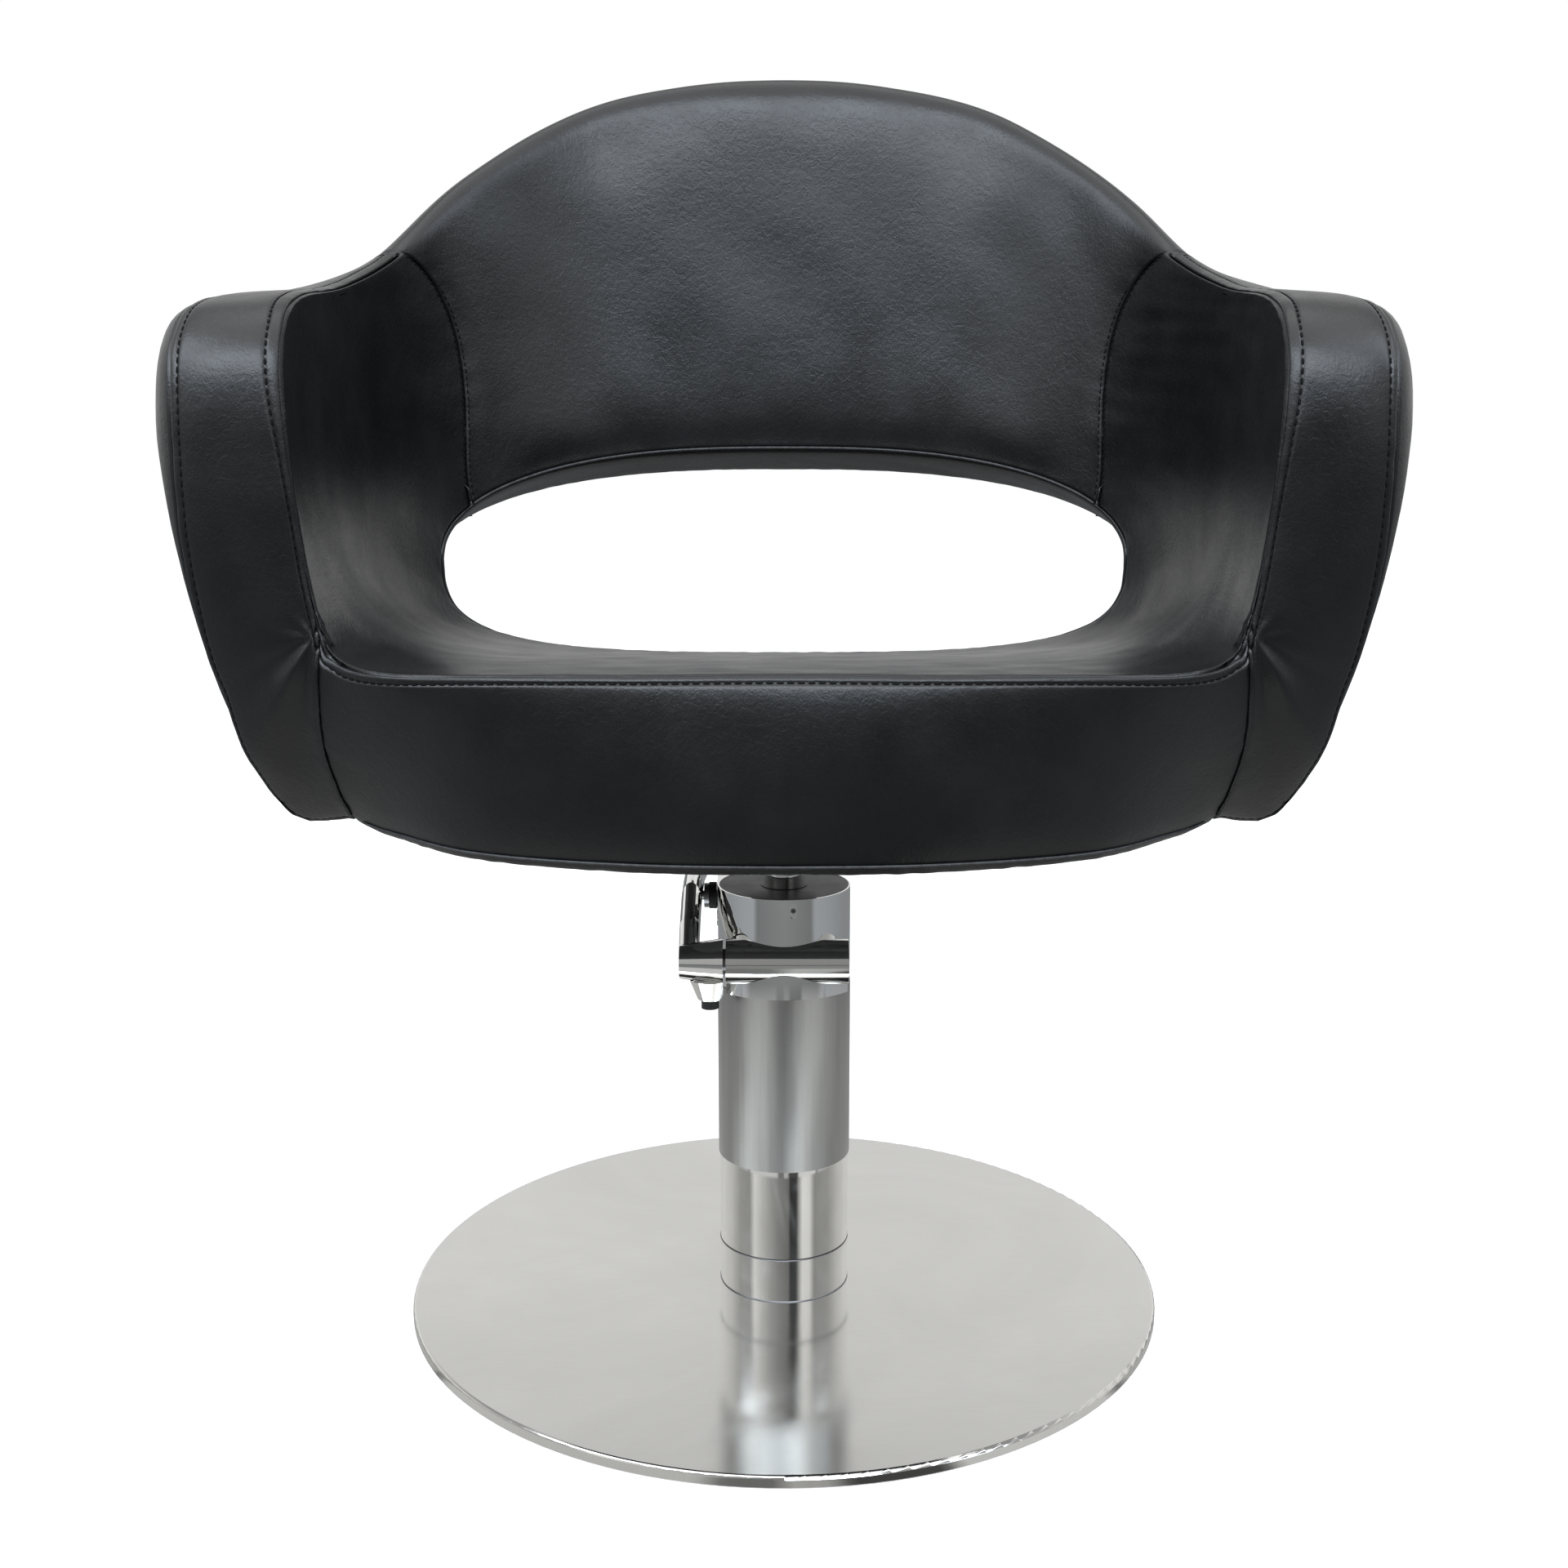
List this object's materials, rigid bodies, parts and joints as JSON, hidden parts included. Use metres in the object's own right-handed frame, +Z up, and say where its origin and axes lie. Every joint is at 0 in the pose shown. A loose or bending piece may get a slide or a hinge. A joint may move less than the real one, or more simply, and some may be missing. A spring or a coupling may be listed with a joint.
{
  "type": "styling chair",
  "caption": "Hydraulic salon styling chair: round steel base, chrome pump column with foot pedal, black upholstered tub seat with an oval opening in the back.",
  "frame": {"origin": "centre of the underside of the round base, on the column axis", "axes": "+Z up along the column, -Y the way the sitter faces, +X to the sitter's left"},
  "size_m": [0.7636, 0.575, 0.9114],
  "materials": {
    "black_leather": "soft satin artificial leather with a fine grain",
    "dust_cloth": "thin woven black under-cover",
    "plywood": "bare plywood",
    "chrome": "bright polished chrome",
    "brushed_disc": "circular brushed stainless steel",
    "satin_sleeve": "satin grey steel",
    "dark_steel": "black oxide steel",
    "painted_black": "black powder coat",
    "spring_steel": "ground steel",
    "bronze": "machined bronze",
    "black_plastic": "smooth black plastic",
    "rubber": "matte black rubber"
  },
  "bodies": {
    "base": {"floor_pad": "rubber", "base_plate": "dark_steel", "base_cover": "brushed_disc", "base_bolts": "dark_steel", "pump_flange": "dark_steel", "column_collar": "chrome", "lower_tube": "chrome", "upper_sleeve": "satin_sleeve", "pump_cylinder": "dark_steel", "pump_head": "chrome", "head_cap": "black_plastic", "head_set_screw": "dark_steel", "guide_bush": "bronze", "rod_seal": "rubber", "barrel_bushes": "bronze", "barrel_plug": "chrome", "plunger_spring": "spring_steel"},
    "plunger": {"plunger": "spring_steel"},
    "pedal": {"pedal_shaft": "spring_steel", "pedal_lever": "chrome", "clamp_screw": "rubber", "stop_screw": "spring_steel", "stop_bumper": "rubber", "pump_cam": "dark_steel", "pedal_tread": "rubber"},
    "ram": {"piston": "bronze"},
    "seat": {"piston_rod": "chrome", "seat_plate": "painted_black", "plate_bolts": "dark_steel", "t_nuts": "spring_steel", "seat_board": "plywood", "under_cover": "dust_cloth", "seat_pad": "black_leather", "front_pad": "black_leather", "front_piping": "black_leather", "arm_pad_left": "black_leather", "arm_pad_right": "black_leather", "arm_band_left": "black_leather", "arm_band_right": "black_leather", "back_pad": "black_leather", "back_roll": "black_leather", "side_frame_left": "plywood", "side_frame_right": "plywood", "back_frame": "plywood", "rear_rail": "plywood", "outer_cover_left": "black_leather", "outer_cover_right": "black_leather", "outer_cover_back": "black_leather", "opening_liner": "black_leather"}
  },
  "joints": [
    {"name": "seat_lift", "type": "slide", "parent": "base", "child": "ram", "axis": [0, 0, 1], "range_m": [0, 0.14]},
    {"name": "seat_swivel", "type": "hinge", "parent": "ram", "child": "seat", "pos_m": [0, 0, 0.3], "axis": [0, 0, 1], "continuous": true},
    {"name": "pedal_press", "type": "hinge", "parent": "base", "child": "pedal", "pos_m": [0, -0.039, 0.265], "axis": [1, 0, 0], "range_deg": [-25, 0], "stiffness_Nm_per_rad": 11, "springref_deg": 22.92},
    {"name": "plunger_slide", "type": "slide", "parent": "base", "child": "plunger", "axis": [0, 0, 1], "range_m": [-0.0062, 0], "deforming": ["plunger_spring"]}
  ],
  "couplings": [
    {"joint": "plunger_slide", "follows": "pedal_press", "m_per_rad": 0.0133}
  ]
}
